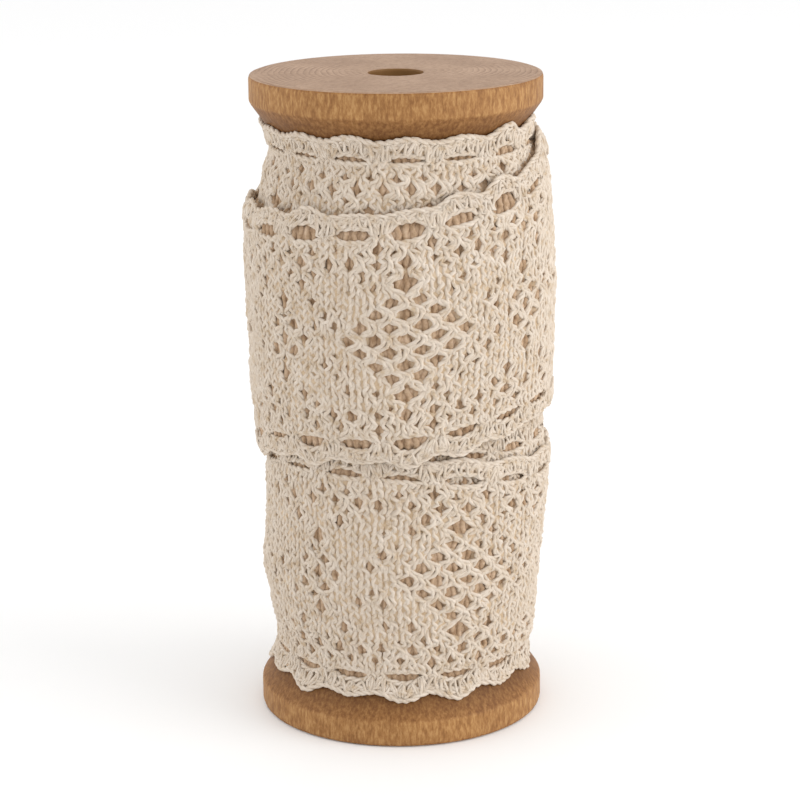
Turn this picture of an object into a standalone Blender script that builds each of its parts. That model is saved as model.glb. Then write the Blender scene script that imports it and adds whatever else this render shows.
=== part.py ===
"""A turned wooden spool wound with a cotton lace ribbon.

The spool is one turned piece, with a bore along its axis and a bevelled flange
at each end. The lace is one solid of its wound form: a bottom course, a top
course, and an outer course that climbs over both. Its scalloped edges rest on
the bevels, and the slots along its borders are sunk to the course beneath.

The spool stands on its lower flange at the origin, with +Z along its axis. The
front faces -Y. A bearing is an angle about the axis, 0 at the front and 90
degrees at +X.
"""

import math

import bmesh
import bpy

MM = 0.001

# Spool
SPOOL_HEIGHT = 114.3 * MM
FLANGE_RADIUS = 25.4 * MM
BARREL_RADIUS = 19.5 * MM
BORE_RADIUS = 4.76 * MM
RIM_HEIGHT = 4.5 * MM
BEVEL_SLOPE = 0.71  # how much the radius shrinks for each unit of height
FACE_ROUNDING = 0.7 * MM
RIM_ROUNDING = 0.4 * MM
BORE_ROUNDING = 0.4 * MM
SPOOL_STEPS = 72
ARC_STEPS = 2
BEVEL_HEIGHT = (FLANGE_RADIUS - BARREL_RADIUS) / BEVEL_SLOPE

# Lace ribbon
GAP = 0.3 * MM  # between the lace and the wood
BEVEL_GAP = GAP * math.hypot(1.0, BEVEL_SLOPE)  # the same gap, along a radius
EDGE_THICKNESS = 0.95 * MM  # of one course where it ends on a bevel
COURSE_THICKNESS = 1.2 * MM  # least height of the outer course over the others
STEP_HEIGHT = 0.15 * MM  # over which a course's edge rises
CORD_WIDTH = 0.8 * MM  # of the plaited cord along each edge
SLOT_DEPTH = 1.1 * MM
SLOT_FROM_EDGE = 3.0 * MM
SLOT_HALF_HEIGHT = 0.8 * MM
SLOT_WALL = 0.4 * MM  # height over which a slot's wall falls
SLOT_SHARE = 0.29  # half of a slot's length, as a share of the scallops' pitch
SCALLOP = 0.7 * MM  # half of a scallop's rise
LACE_COLUMNS = 108

# Scallops in a full turn, and the bearing of the middle of one of them
OUTER_SCALLOPS = 18
OUTER_SCALLOP_BEARING = math.radians(4.0)
END_SCALLOPS = 15
END_SCALLOP_BEARING = math.radians(25.0)

BOTTOM_EDGE = 8.0 * MM
TOP_EDGE = 106.7 * MM
BOTTOM_COURSE_TOP = 49.0 * MM
BOTTOM_COURSE_STEP = 0.9 * MM
BORDER_HIDDEN = 0.6  # share of the bottom course's upper border that stays wholly covered
BOTTOM_BODY_ROWS = 6
OUTER_BODY_ROWS = 8
TOP_BODY_ROWS = 3
SWELLS = ((3, 0.25 * MM, 40.0), (5, 0.15 * MM, -25.0))  # count, rise, twist in turns a metre

# The roll without its outer course: height, radius on the left, radius on the right
UNDER_FORM = (
    (6.0, 24.6, 24.6),
    (8.0, 23.9, 23.9),
    (10.5, 22.7, 23.1),
    (15.0, 22.8, 24.4),
    (20.0, 23.8, 24.9),
    (27.0, 24.9, 25.4),
    (35.0, 24.3, 26.3),
    (42.0, 24.1, 26.9),
    (52.0, 24.3, 27.0),
    (65.0, 24.6, 26.4),
    (80.0, 24.8, 26.2),
    (93.0, 24.3, 25.7),
    (97.5, 23.6, 25.0),
    (101.5, 22.2, 24.0),
    (104.5, 22.9, 23.7),
    (107.5, 24.3, 24.3),
)

# The outer course: share of its width, radius on the left, radius on the right
OUTER_FORM = (
    (0.0, 24.9, 27.2),
    (0.05, 25.4, 27.4),
    (0.15, 26.0, 27.6),
    (0.3, 26.6, 27.8),
    (0.43, 26.5, 28.0),
    (0.6, 26.9, 27.7),
    (0.8, 27.2, 27.1),
    (0.93, 26.9, 26.3),
    (1.0, 26.2, 25.2),
)

# Where the outer course runs, each 30 degrees from the left side round the front:
# height of its lower edge, height of its upper edge
OUTER_PATH = (
    (46.8, 93.3),
    (49.4, 93.6),
    (50.8, 94.4),
    (51.4, 95.1),
    (53.4, 97.4),
    (55.2, 99.9),
    (55.5, 104.2),
    (56.3, 104.6),
    (54.9, 102.0),
    (52.5, 98.6),
    (49.6, 95.6),
    (47.4, 93.8),
)
PATH_START = math.radians(-90.0)

WOOD_COLOR = (0.47, 0.30, 0.17, 1.0)
WOOD_ROUGHNESS = 0.6
LACE_COLOR = (0.70, 0.60, 0.49, 1.0)
LACE_ROUGHNESS = 0.92
SHARP_ANGLE = math.radians(50.0)


def clear_scene():
    """Remove whatever a new file holds."""
    for thing in list(bpy.data.objects):
        bpy.data.objects.remove(thing, do_unlink=True)


def make_material(name, color, roughness):
    """A Principled material with one colour."""
    material = bpy.data.materials.new(name)
    material.use_nodes = True
    shader = material.node_tree.nodes["Principled BSDF"]
    shader.inputs["Base Color"].default_value = color
    shader.inputs["Roughness"].default_value = roughness
    shader.inputs["Metallic"].default_value = 0.0
    return material


def smoothstep(value):
    """0 below 0, 1 above 1, and a smooth rise between."""
    value = min(1.0, max(0.0, value))
    return value * value * (3.0 - 2.0 * value)


def rounded_corner(before, corner, after, radius):
    """Points of an arc that takes the place of a corner of a profile."""
    start = math.dist(corner, before)
    end = math.dist(corner, after)
    first = [corner[i] + (before[i] - corner[i]) * radius / start for i in range(2)]
    last = [corner[i] + (after[i] - corner[i]) * radius / end for i in range(2)]
    points = []
    for step in range(ARC_STEPS + 1):
        t = step / ARC_STEPS
        weights = ((1 - t) ** 2, 2 * t * (1 - t), t * t)
        points.append(tuple(weights[0] * a + weights[1] * b + weights[2] * c
                            for a, b, c in zip(first, corner, last)))
    return points


def spool_profile():
    """The spool's closed section, down its outer side and up its bore."""
    top = SPOOL_HEIGHT
    corners = (
        (BORE_RADIUS, top, BORE_ROUNDING),
        (FLANGE_RADIUS, top, FACE_ROUNDING),
        (FLANGE_RADIUS, top - RIM_HEIGHT, RIM_ROUNDING),
        (BARREL_RADIUS, top - RIM_HEIGHT - BEVEL_HEIGHT, 0.0),
        (BARREL_RADIUS, RIM_HEIGHT + BEVEL_HEIGHT, 0.0),
        (FLANGE_RADIUS, RIM_HEIGHT, RIM_ROUNDING),
        (FLANGE_RADIUS, 0.0, FACE_ROUNDING),
        (BORE_RADIUS, 0.0, BORE_ROUNDING),
    )
    points = []
    for index, (radius, height, rounding) in enumerate(corners):
        before = corners[index - 1][:2]
        after = corners[(index + 1) % len(corners)][:2]
        if rounding:
            points.extend(rounded_corner(before, (radius, height), after, rounding))
        else:
            points.append((radius, height))
    return points


def make_spool(collection, material):
    """The spool, turned by a Screw modifier from its section."""
    mesh = bpy.data.meshes.new("spool")
    form = bmesh.new()
    corners = [form.verts.new((radius, 0.0, height)) for radius, height in spool_profile()]
    for index, corner in enumerate(corners):
        form.edges.new((corner, corners[(index + 1) % len(corners)]))
    form.to_mesh(mesh)
    form.free()
    spool = bpy.data.objects.new("spool", mesh)
    collection.objects.link(spool)
    screw = spool.modifiers.new("turned", "SCREW")
    screw.axis = "Z"
    screw.angle = 2 * math.pi
    screw.steps = SPOOL_STEPS
    screw.render_steps = SPOOL_STEPS
    screw.use_merge_vertices = True
    screw.merge_threshold = 0.00001
    screw.use_smooth_shade = True
    mesh.materials.append(material)
    return spool


def read_form(table, place, bearing):
    """Radius in a table of left and right radii, at a bearing between the two."""
    row = 0
    while row < len(table) - 2 and place > table[row + 1][0]:
        row += 1
    low, left_low, right_low = table[row]
    high, left_high, right_high = table[row + 1]
    share = smoothstep((place - low) / (high - low))
    left = left_low + (left_high - left_low) * share
    right = right_low + (right_high - right_low) * share
    return ((left + right) / 2 + (right - left) / 2 * math.sin(bearing)) * MM


def swell(bearing, height):
    """Uneven winding: low waves that lean round the roll."""
    rise = 0.0
    for count, amount, twist in SWELLS:
        rise += amount * math.sin(count * bearing + 2 * math.pi * twist * height)
    return rise * abs(math.cos(bearing))


def under_radius(bearing, height):
    """Radius of the roll beneath the outer course."""
    return read_form(UNDER_FORM, height / MM, bearing) + swell(bearing, height) / 2


def outer_radius(bearing, share, height):
    """Radius of the outer course at a share of its width."""
    return read_form(OUTER_FORM, share, bearing) + swell(bearing, height)


def outer_edge(bearing, column):
    """Height of the outer course's lower (0) or upper (1) edge, before its scallops."""
    count = len(OUTER_PATH)
    place = ((bearing - PATH_START) / (2 * math.pi)) % 1.0 * count
    row = int(place)
    t = place - row
    before, low, high, after = (OUTER_PATH[(row + step) % count][column] for step in (-1, 0, 1, 2))
    bend = 2 * before - 5 * low + 4 * high - after
    turn = -before + 3 * low - 3 * high + after
    return 0.5 * (2 * low + (high - before) * t + bend * t**2 + turn * t**3) * MM


def bevel_radius(height):
    """Radius of the wood, without its rims, at a height."""
    from_end = min(height, SPOOL_HEIGHT - height) - RIM_HEIGHT
    return max(BARREL_RADIUS, FLANGE_RADIUS - BEVEL_SLOPE * from_end)


def scallop_phase(bearing, count, middle):
    """Place in a scallop as a share of the pitch, from -0.5 to 0.5, 0 at its middle."""
    return ((bearing - middle) * count / (2 * math.pi) + 0.5) % 1.0 - 0.5


def scallop(bearing, count, middle):
    """How far an edge stands out with its scallops, beyond its mean line."""
    return SCALLOP * math.cos(2 * math.pi * scallop_phase(bearing, count, middle))


def slot_rows(middle_height, phase, depth):
    """Four rows across a border's slots: height, and how deep each is sunk."""
    sunk = depth if abs(phase) < SLOT_SHARE else 0.0
    reach = SLOT_HALF_HEIGHT + SLOT_WALL
    return (
        (middle_height - reach, 0.0),
        (middle_height - SLOT_HALF_HEIGHT, sunk),
        (middle_height + SLOT_HALF_HEIGHT, sunk),
        (middle_height + reach, 0.0),
    )


def spaced(low, high, count):
    """Values spaced evenly between two others, which are left out."""
    return [low + (high - low) * (step + 1) / (count + 1) for step in range(count)]


def bottom_course(bearing, outer_low):
    """Rows of the bottom course, upwards, as radius and height."""
    phase = scallop_phase(bearing, END_SCALLOPS, END_SCALLOP_BEARING)
    edge = BOTTOM_EDGE - scallop(bearing, END_SCALLOPS, END_SCALLOP_BEARING)
    top = min(BOTTOM_COURSE_TOP, outer_low - 2 * SCALLOP - STEP_HEIGHT)
    shown = smoothstep((outer_low - top) / (SLOT_FROM_EDGE + SLOT_WALL) - BORDER_HIDDEN)
    rows = [(bevel_radius(edge) + BEVEL_GAP + EDGE_THICKNESS, edge)]
    rows.append((under_radius(bearing, edge + CORD_WIDTH), edge + CORD_WIDTH))
    low_slots = slot_rows(BOTTOM_EDGE + SLOT_FROM_EDGE + CORD_WIDTH, phase, SLOT_DEPTH)
    high_slots = slot_rows(top - SLOT_FROM_EDGE, phase, SLOT_DEPTH * shown)
    body = [(height, 0.0) for height in spaced(low_slots[-1][0], high_slots[0][0], BOTTOM_BODY_ROWS)]
    for height, sunk in (*low_slots, *body, *high_slots):
        rows.append((under_radius(bearing, height) - sunk, height))
    beyond = top + STEP_HEIGHT
    rows.append((under_radius(bearing, top), top))
    rows.append((under_radius(bearing, beyond) - BOTTOM_COURSE_STEP * shown, beyond))
    return rows


def outer_course(bearing, low, high):
    """Rows of the outer course, upwards, with the course beneath at either end."""
    phase = scallop_phase(bearing, OUTER_SCALLOPS, OUTER_SCALLOP_BEARING)
    wave = scallop(bearing, OUTER_SCALLOPS, OUTER_SCALLOP_BEARING)
    low_edge = low - wave
    high_edge = high + wave
    low_rim = outer_radius(bearing, 0.0, low_edge)
    high_rim = outer_radius(bearing, 1.0, high_edge)
    rows = [(min(under_radius(bearing, low_edge), low_rim - COURSE_THICKNESS), low_edge)]
    rows.append((low_rim, low_edge + STEP_HEIGHT))
    low_slots = slot_rows(low + SLOT_FROM_EDGE, phase, SLOT_DEPTH)
    high_slots = slot_rows(high - SLOT_FROM_EDGE, phase, SLOT_DEPTH)
    body = [(height, 0.0) for height in spaced(low_slots[-1][0], high_slots[0][0], OUTER_BODY_ROWS)]
    for height, sunk in (*low_slots, *body, *high_slots):
        share = (height - low) / (high - low)
        rows.append((outer_radius(bearing, share, height) - sunk, height))
    rows.append((high_rim, high_edge - STEP_HEIGHT))
    rows.append((min(under_radius(bearing, high_edge), high_rim - COURSE_THICKNESS), high_edge))
    return rows


def top_course(bearing, outer_high):
    """Rows of the top course that show above the outer one, upwards."""
    edge = TOP_EDGE + scallop(bearing, END_SCALLOPS, END_SCALLOP_BEARING)
    start = outer_high + scallop(bearing, OUTER_SCALLOPS, OUTER_SCALLOP_BEARING)
    rows = []
    for height in spaced(start, edge, TOP_BODY_ROWS):
        rows.append((under_radius(bearing, height), height))
    rows.append((bevel_radius(edge) + BEVEL_GAP + EDGE_THICKNESS, edge))
    return rows


def inner_wall(low_edge, high_edge):
    """Rows of the roll's inside, downwards along the bevels and the barrel."""
    barrel_low = RIM_HEIGHT + BEVEL_HEIGHT
    barrel_high = SPOOL_HEIGHT - barrel_low
    wall = BARREL_RADIUS + GAP
    return [
        (bevel_radius(high_edge) + BEVEL_GAP, high_edge),
        (wall, barrel_high),
        (wall, (barrel_low + barrel_high) / 2),
        (wall, barrel_low),
        (bevel_radius(low_edge) + BEVEL_GAP, low_edge),
    ]


def lace_section(bearing):
    """The roll's closed section at a bearing: up its outside and down its inside."""
    low = outer_edge(bearing, 0)
    high = outer_edge(bearing, 1)
    outside = bottom_course(bearing, low) + outer_course(bearing, low, high) + top_course(bearing, high)
    return outside + inner_wall(outside[0][1], outside[-1][1])


def make_lace_roll(collection, material):
    """The wound lace, lofted through its sections all the way round."""
    mesh = bpy.data.meshes.new("lace_roll")
    form = bmesh.new()
    rings = []
    for column in range(LACE_COLUMNS):
        bearing = 2 * math.pi * column / LACE_COLUMNS
        across, along = math.sin(bearing), -math.cos(bearing)
        section = lace_section(bearing)
        rings.append([form.verts.new((r * across, r * along, z)) for r, z in section])
    for column, ring in enumerate(rings):
        other = rings[(column + 1) % LACE_COLUMNS]
        for row, corner in enumerate(ring):
            after = (row + 1) % len(ring)
            form.faces.new((corner, other[row], other[after], ring[after]))
    bmesh.ops.triangulate(form, faces=form.faces[:])
    form.to_mesh(mesh)
    form.free()
    mesh.shade_smooth()
    mesh.set_sharp_from_angle(angle=SHARP_ANGLE)
    mesh.materials.append(material)
    roll = bpy.data.objects.new("lace_roll", mesh)
    collection.objects.link(roll)
    return roll


def main():
    """Build the spool and the lace wound on it."""
    clear_scene()
    collection = bpy.data.collections.new("lace_ribbon_spool")
    bpy.context.scene.collection.children.link(collection)
    make_spool(collection, make_material("birch", WOOD_COLOR, WOOD_ROUGHNESS))
    make_lace_roll(collection, make_material("cotton_lace", LACE_COLOR, LACE_ROUGHNESS))


main()
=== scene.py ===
"""Looks of the wooden spool of cotton lace ribbon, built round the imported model.

Lengths are in millimetres, apart from those of the wood's grain and of the studio,
which are in metres. A bearing is an angle about the spool's axis in degrees, 0 at
the front (-Y) and 90 at +X. Across the ribbon, 0 is its lower edge. The strands of
the lace are two-ply yarn, drawn one by one.
"""

import math

import bpy
import numpy as np
from mathutils import Matrix, Vector


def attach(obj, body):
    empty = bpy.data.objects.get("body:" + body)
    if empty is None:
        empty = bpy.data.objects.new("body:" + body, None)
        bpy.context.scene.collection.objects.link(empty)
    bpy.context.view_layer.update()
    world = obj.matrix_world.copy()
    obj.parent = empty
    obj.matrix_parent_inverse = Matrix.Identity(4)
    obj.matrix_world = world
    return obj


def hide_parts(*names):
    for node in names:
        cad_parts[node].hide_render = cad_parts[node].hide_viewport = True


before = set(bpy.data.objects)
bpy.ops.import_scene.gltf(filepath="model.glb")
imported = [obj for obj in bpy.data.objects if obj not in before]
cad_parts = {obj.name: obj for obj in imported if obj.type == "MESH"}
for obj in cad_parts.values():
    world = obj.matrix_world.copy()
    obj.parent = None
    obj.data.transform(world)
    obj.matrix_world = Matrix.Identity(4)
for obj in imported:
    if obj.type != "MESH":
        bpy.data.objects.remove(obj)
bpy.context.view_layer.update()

MM = 0.001

# Camera, fitted to the spool's outline in the photograph
CAMERA_DISTANCE = 429.9
CAMERA_HEIGHT = 172.2
CAMERA_PITCH = 15.15
CAMERA_ROLL = -0.55
FOCAL_LENGTH = 112.5
SENSOR_WIDTH = 36.0
CAMERA_SHIFT = 0.0014
CLIP_START = 10.0

# Spool, as in the model
SPOOL_HEIGHT = 114.3
FLANGE_RADIUS = 25.4
BARREL_RADIUS = 19.5
RIM_HEIGHT = 4.5
BEVEL_SLOPE = 0.71

# Ribbon
RIBBON_WIDTH = 44.0
STRAND_PITCH = 1.15  # between columns of yarn
BORDER = 5.2  # width of the border with its slots
BORDER_DEPTH = 0.55  # of the yarns' axes under the roll's surface, in the border
BODY_DEPTH = 0.72  # and between the borders
YARN_CLEARANCE = 0.5  # of the yarns' axes from the wood

# Yarn
PLY_RADIUS = 0.35
PLY_REACH = 0.25  # of each ply from its yarn's axis
YARN_FLATNESS = 0.85
LEAF = 1.6  # length of one ply's turn to the front, half a twist of the yarn
TWIST_WANDER = 0.5  # radians
SLUB = 0.12  # uneven thickness, as a share of the radius
SLUB_STEPS = (2.3, 0.8)  # of its unevenness from tube to tube, and from point to point
SLUB_SEED = 6.0
TUBE_SIDES = 5

# The roll without its outer course: height, radius on the left, radius on the right
UNDER_FORM = np.array((
    (6.0, 24.6, 24.6),
    (8.0, 23.9, 23.9),
    (10.5, 22.7, 23.1),
    (15.0, 22.8, 24.4),
    (20.0, 23.8, 24.9),
    (27.0, 24.9, 25.4),
    (35.0, 24.3, 26.3),
    (42.0, 24.1, 26.9),
    (52.0, 24.3, 27.0),
    (65.0, 24.6, 26.4),
    (80.0, 24.8, 26.2),
    (93.0, 24.3, 25.7),
    (97.5, 23.6, 25.0),
    (101.5, 22.2, 24.0),
    (104.5, 22.9, 23.7),
    (107.5, 24.3, 24.3),
))
PRESSED_DEPTH = 1.25  # under the outer course's face at its edges
PRESSED_SLOPE = 0.18  # at which the roll comes up again beside that course

# The outer course: share of its width, radius on the left, radius on the right
OUTER_FORM = np.array((
    (0.0, 24.9, 27.2),
    (0.05, 25.4, 27.4),
    (0.15, 26.0, 27.6),
    (0.3, 26.6, 27.8),
    (0.43, 26.5, 28.0),
    (0.6, 26.9, 27.7),
    (0.8, 27.2, 27.1),
    (0.93, 26.9, 26.3),
    (1.0, 26.2, 25.2),
))
SWELLS = ((3, 0.25, 0.040), (5, 0.15, -0.025))  # count, rise, twist in turns a mm

# Where the outer course runs, by steps from the left side round the front:
# height of its lower edge, height of its upper edge
OUTER_PATH = np.array((
    (46.8, 93.3),
    (49.4, 93.6),
    (50.8, 94.4),
    (51.4, 95.1),
    (53.4, 97.4),
    (55.2, 99.9),
    (55.5, 104.2),
    (56.3, 104.6),
    (54.9, 102.0),
    (52.5, 98.6),
    (49.6, 95.6),
    (47.4, 93.8),
))
# Where the bottom course's upper edge runs, by the same steps
BOTTOM_TOP_PATH = np.array((50.5, 52.5, 53.0, 52.8, 51.4, 49.6, 48.3, 48.3, 49.0, 50.0, 50.5, 50.5))
PATH_START = -90.0
PATH_STEP = 30.0
BOTTOM_EDGE = 8.0
TOP_EDGE = 106.7
MIDDLE_TOP = 55.3
MIDDLE_STEP = 0.9  # of the middle course's face under the roll's surface

# The outer course's start, which dives under its own end at the back
OUTER_START = -186.0
DIVE = 1.15
DIVE_END = 14.0  # degrees from the start
DIVE_RUN = 12.0  # degrees

# Cords of a border, by number from the edge. The crest is the top of a scallop, over the
# middle of a slot, and the bar is the lace between two slots.
EDGE_CORDS = 3
SECOND_CORD = 1
NEAR_CORD = 3  # between the edge and the slots
FAR_CORD = 4  # beyond the slots
CORD_COUNT = 5
EDGE_INSET = 0.45  # of the outermost cord, midway between crest and bar
SCALLOP = 0.72
CORD_STEP = 0.46  # between edge cords where a scallop is lowest
CREST_STEP = 0.2  # added to it at a crest
NEAR_INSET = 2.9
NEAR_CREST = 0.7
NEAR_BAR_INSET = 3.7
NEAR_CLOSING = 0.8  # how far this cord moves where a slot is closed
FAR_INSET = 5.2
FAR_BAR_INSET = 4.4
FAR_CLOSING = 0.6
BAR_FROM = 0.24  # share of the slots' pitch from a slot's middle to where a bar starts
BAR_WIDTH = 0.12
CREST_REACH = (0.25, 1.35)  # the lowest and the highest crest, as a share of the scallop
CORD_SAMPLE = 1.6  # degrees between points of a cord
CORD_WANDER = 0.08
CORD_ROUGHNESS = 0.06
BAR_SINK = 0.3  # of the cords beside the slots, in a bar
SECOND_SINK = 0.12

# Yarn sewn over a border's cords
STITCH_PITCH = 1.9  # along the edge, for a stitch over it and back
STITCH_RADIUS = 0.27
STITCH_SAMPLES = 6
STITCH_STEEPNESS = 1.4
STITCH_WANDER = 0.9  # radians of its pitch
STITCH_SHORTER = 0.15  # share by which the stitches differ
STITCH_INSET = 0.25  # from the outermost cord
STITCH_BAR_INSET = 0.5  # past the slots' cord, in a bar
STITCH_LEAN = 0.35
STITCH_LIFT = 0.24
STITCH_ROUGHNESS = 0.05
STITCH_TWIST = 1.6  # times as tight as that of the columns

# How open the slots at the front are, by course and border, lower (0) or upper (1): the
# number of each slot from the course's own slot bearing, and its openness
FRONT_SLOTS = {
    ("outer", 0): {-3: 0.5, -2: 0.9, -1: 1.0, 0: 0.9, 1: 0.45, 2: 0.4},
    ("outer", 1): {-3: 1.0, -2: 1.2, -1: 1.0, 0: 1.6, 1: 0.8, 2: 1.5},
    ("bottom", 0): {-3: 0.4, -2: 0.7, -1: 0.5, 0: 0.35, 1: 0.6},
    ("bottom", 1): {-4: 0.0, -3: 0.1, -2: 0.2, -1: 0.1, 0: 0.7, 1: 0.6},
    ("top", 1): {-3: 0.1, -2: 0.2, -1: 0.3, 0: 0.2, 1: 0.4},
}
SLOTS_A_REPEAT = 5
SPARE_SLOTS = 4  # drawn beyond one turn

# Columns of yarn and their net
NET_STEP = 4.4  # height of a hole of the open net and its knots
NET_SWING = 1.02  # how far a pair of columns swings in the open net
DENSE_SWING = 0.22
SWING_WANDER = 0.15  # as a share of the swing
CROSS_LIFT = 0.2
PAIR_CLOSE = 0.17  # how far each column of a pair moves to the other in the net
WAVE_STEEPNESS = 1.6
WAVE_WANDER = 0.25  # of the net's holes, across
LEAF_WANDER = 0.8  # radians
LEAF_LIFT = 0.05
COLUMN_ROUGHNESS = 0.1
COLUMN_DEPTH = 0.03  # spread of the columns' own depths
COLUMN_TUCK = 0.05  # past the slots' far cord
BAR_COLUMNS = ((0.28, 1.3), (0.41, 3.5))  # share of the slots' pitch, end of the columns beyond it
PAIR_GAP = 1.5  # columns from the first one to the middle of a gap between two

# Open places of the repeat: half lengths and half heights, softness of the rim, openness
DIAMOND_LENGTH = 12.0
DIAMOND_HEIGHT = 10.5
DIAMOND_RIM = 0.16
RING_AT = 1.42  # round a diamond, as a multiple of its size
RING_WIDTH = 1.6  # in rims of the diamond
RING_OPENNESS = 0.58
BETWEEN_FORM = (5.0, 10.5, 0.25)  # the half diamonds between two repeats
BETWEEN_OPENNESS = 0.95
CORNER_ALONG = 8.0
CORNER_ACROSS = 12.5
CORNER_FORM = (5.0, 3.0, 0.4)
CORNER_OPENNESS = 0.7
ROW_ACROSS = 13.5
ROW_FORM = (2.0, 1.3)  # half width in rims, rim
ROW_OPENNESS = 0.76
STRAY_OPENNESS = 0.5

# Uneven patches of net: size along, size across, what is added to the seed, contrast, level
RING_PATCHES = (3.0, 3.0, 0.0, 1.4, 1.0)
ROW_PATCHES = (2.2, 4.0, 0.0, 1.2, 1.05)
STRAY_PATCHES = (2.0, 2.6, 1.7, 2.2, -0.75)

# Other unevenness of a course: size along, size across, what is added to the seed
COLUMN_TEXTURE = (1.6, 1.9, 5.1)
DRIFT_TEXTURE = (3.1, 2.3, 1.9)
GROUND_TEXTURE = (0.9, 1.1, 7.0)

# Unevenness of the cords: degrees along, cords across, what is added to the seed
CORD_INSET_TEXTURE = (3.0, 1.0, 2.0)
CORD_LIFT_TEXTURE = (4.0, 0.5, 4.0)

# Single large holes of the repeat, charted for one quarter: place along as a share of half
# a repeat from the diamond's middle, distance across from it, half width, half height
LARGE_HOLES = (
    (0.0, 9.6, 2.1, 1.15),
    (0.2, 15.6, 1.0, 0.7),
    (0.54, 13.0, 0.8, 0.8),
    (1.0, 6.4, 1.1, 1.2),
    (1.0, 0.0, 0.8, 1.0),
    (0.8, 9.6, 0.8, 0.9),
)
HOLE_PUSH_REACH = 2.3  # along, of the columns that give way
HOLE_MARGIN = (0.7, 0.35)  # along, across
HOLE_RIM_AT = 1.15  # share of a hole's size where its rim ends
HOLE_RIM = 0.4
HOLE_CLOSED_MARGIN = 1.0  # where the net closes round a large hole
NET_FADE = 1.2  # over which the net starts beside a border

# How columns stray without opening
BOW = 1.5  # round a diamond, before it fades
BOW_AT = 8.0  # distance along from the diamond's middle, for that bow
BOW_LENGTH = 11.0
BOW_HEIGHT = 9.5
GATHER = 0.3  # share of the way to the nearest bar
GATHER_MARGIN = 0.7  # past the border, where the columns start to gather
GATHER_WIDTH = 2.6
WANDER = 0.2

# Felted inside of a course
GROUND_STEP = 1.25  # degrees between rings
GROUND_DEPTH = 0.58  # under the roll's surface in dense lace
NET_DEPTH = 0.18  # deeper by this in the open net
HOLE_DEPTH = 1.4  # in the holes, where the course beneath takes over
GROUND_ROUGHNESS = 0.12
GROUND_THICKNESS = 0.35
GROUND_GAP = 0.1  # between it and a border's cord
BAND_SINK = 0.05  # under the cords of a border
PIT_FROM = 0.08  # openness at which a pit starts
PIT_RIM = 0.25
BACK_ROWS = 6  # rows of the front for one of the back
LACE_CLEARANCE = 0.4  # from the wood
BACK_CLEARANCE = 0.1

# Points along the columns, rows of the felted insides, and how far they run on out of sight
BODY_SAMPLES = 74
TOP_SAMPLES = 32
MIDDLE_SAMPLES = 24
BODY_ROWS = 70
TOP_ROWS = 30
MIDDLE_ROWS = 20
BAND_ROWS = 5
OVERLAP = 3.0
TOP_YARN_OVERLAP = 3.5
MIDDLE_FROM = 30.0
MIDDLE_GROUND_FROM = 31.0

# Inner course, close beneath whatever lies over it
INNER_COLUMNS = 112
INNER_SAMPLES = 80
INNER_YARN_RADIUS = 0.62
INNER_LOW = 9.2
INNER_HIGH = 104.0
INNER_DEPTH = 1.32  # of its yarns' axes under the face of the course over it
INNER_WANDER = 0.22  # share of its pitch
INNER_ZIGZAG = 0.14
INNER_ROUGHNESS = 0.08
INNER_TEXTURE_STEP = 0.7  # from yarn to yarn
INNER_TEXTURE_HEIGHT = 1.8
INNER_SEED = 9.0
COVER_RUN = 3.0  # over which the inner course rises under the outer one

# Gap between the outer and the bottom course, where the inner course lies under the middle one
GAP_BEARING = 109.0  # of its middle
GAP_HALF = 96.0  # degrees
GAP_END_RUN = 8.0  # degrees
GAP_ABOVE = 2.0  # over the outer course's lower edge
GAP_BELOW = 6.0  # under the bottom course's upper edge
GAP_LOW_RUN = 3.0

# Core of the roll
CORE_STEP = 6.0  # degrees
CORE_ROWS = 40
CORE_LOW = 0.3  # above the inner course's lower end
CORE_HIGH = 1.0  # below its upper end
CORE_RISE = 0.16  # over the inner yarns' axes
CORE_CLEARANCE = 0.3  # from the wood

# Tones of the cotton: flecks, dark, light. The felted insides and the course beneath are the same cotton as
# the yarn; their darker, warmer tones are painted shade.
TONE_STOPS = (0.34, 0.44, 0.66)
YARN_TONES = ((0.52, 0.405, 0.285), (0.60, 0.508, 0.412), (0.68, 0.598, 0.512))
# painted shade: darker, warmer tones for the felted insides between the yarns
GROUND_SHADE_TONES = ((0.44, 0.32, 0.208), (0.51, 0.385, 0.262), (0.58, 0.46, 0.335))
# painted shade: much darker tones for the course beneath and the core, seen deep in the holes
INNER_SHADE_TONES = ((0.30, 0.188, 0.11), (0.41, 0.28, 0.178), (0.60, 0.445, 0.315))
SHEEN_WEIGHT = 0.12
SHEEN_TINT = (1.0, 0.9, 0.76, 1.0)

# Tones of the wood, on ramps with stops from 0 to 1
WHITE = (1.0, 1.0, 1.0)
RING_TONES = ((0.0, (0.50, 0.338, 0.233)), (0.6, (0.455, 0.30, 0.20)), (1.0, (0.28, 0.165, 0.102)))
RING_FADE = ((0.4, (0.0, 0.0, 0.0)), (0.62, (0.85, 0.85, 0.85)))
FADED_TONE = (0.45, 0.297, 0.198, 1.0)
PORE_SHADES = ((0.36, (0.78, 0.74, 0.70)), (0.56, WHITE))
SIDE_TONES = ((0.36, (0.245, 0.108, 0.034)), (0.5, (0.35, 0.172, 0.057)), (0.62, (0.46, 0.255, 0.098)))
# painted shade: dark colour of the bore's walls, where shade falls in the hole
BORE_PAINTED_SHADE = (0.24, 0.12, 0.036, 1.0)
BLOTCH_SHADES = ((0.3, (0.82, 0.79, 0.76)), (0.7, WHITE))

# Shades of the spool's sides from the very end, over the rim and down the bevel: a darker line at the very
# end, and bevels of darker wood with painted shade that deepens towards the lace
BEVEL_TONE_AND_SHADE = (
    (0.0, (0.78, 0.68, 0.56)),
    (0.06, WHITE),
    (0.485, WHITE),
    (0.54, (0.75, 0.68, 0.60)),
    (1.0, (0.38, 0.31, 0.24)),
)
SHADED_DEPTH = 9.0  # from an end of the spool, where the bevel is darkest, by its tone and by painted shade
# radius within which the bore's walls get painted shade
BORE_SHADE_RADIUS = 6.0
END_NORMAL = 0.9  # a face whose normal is more upright is an end

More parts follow.
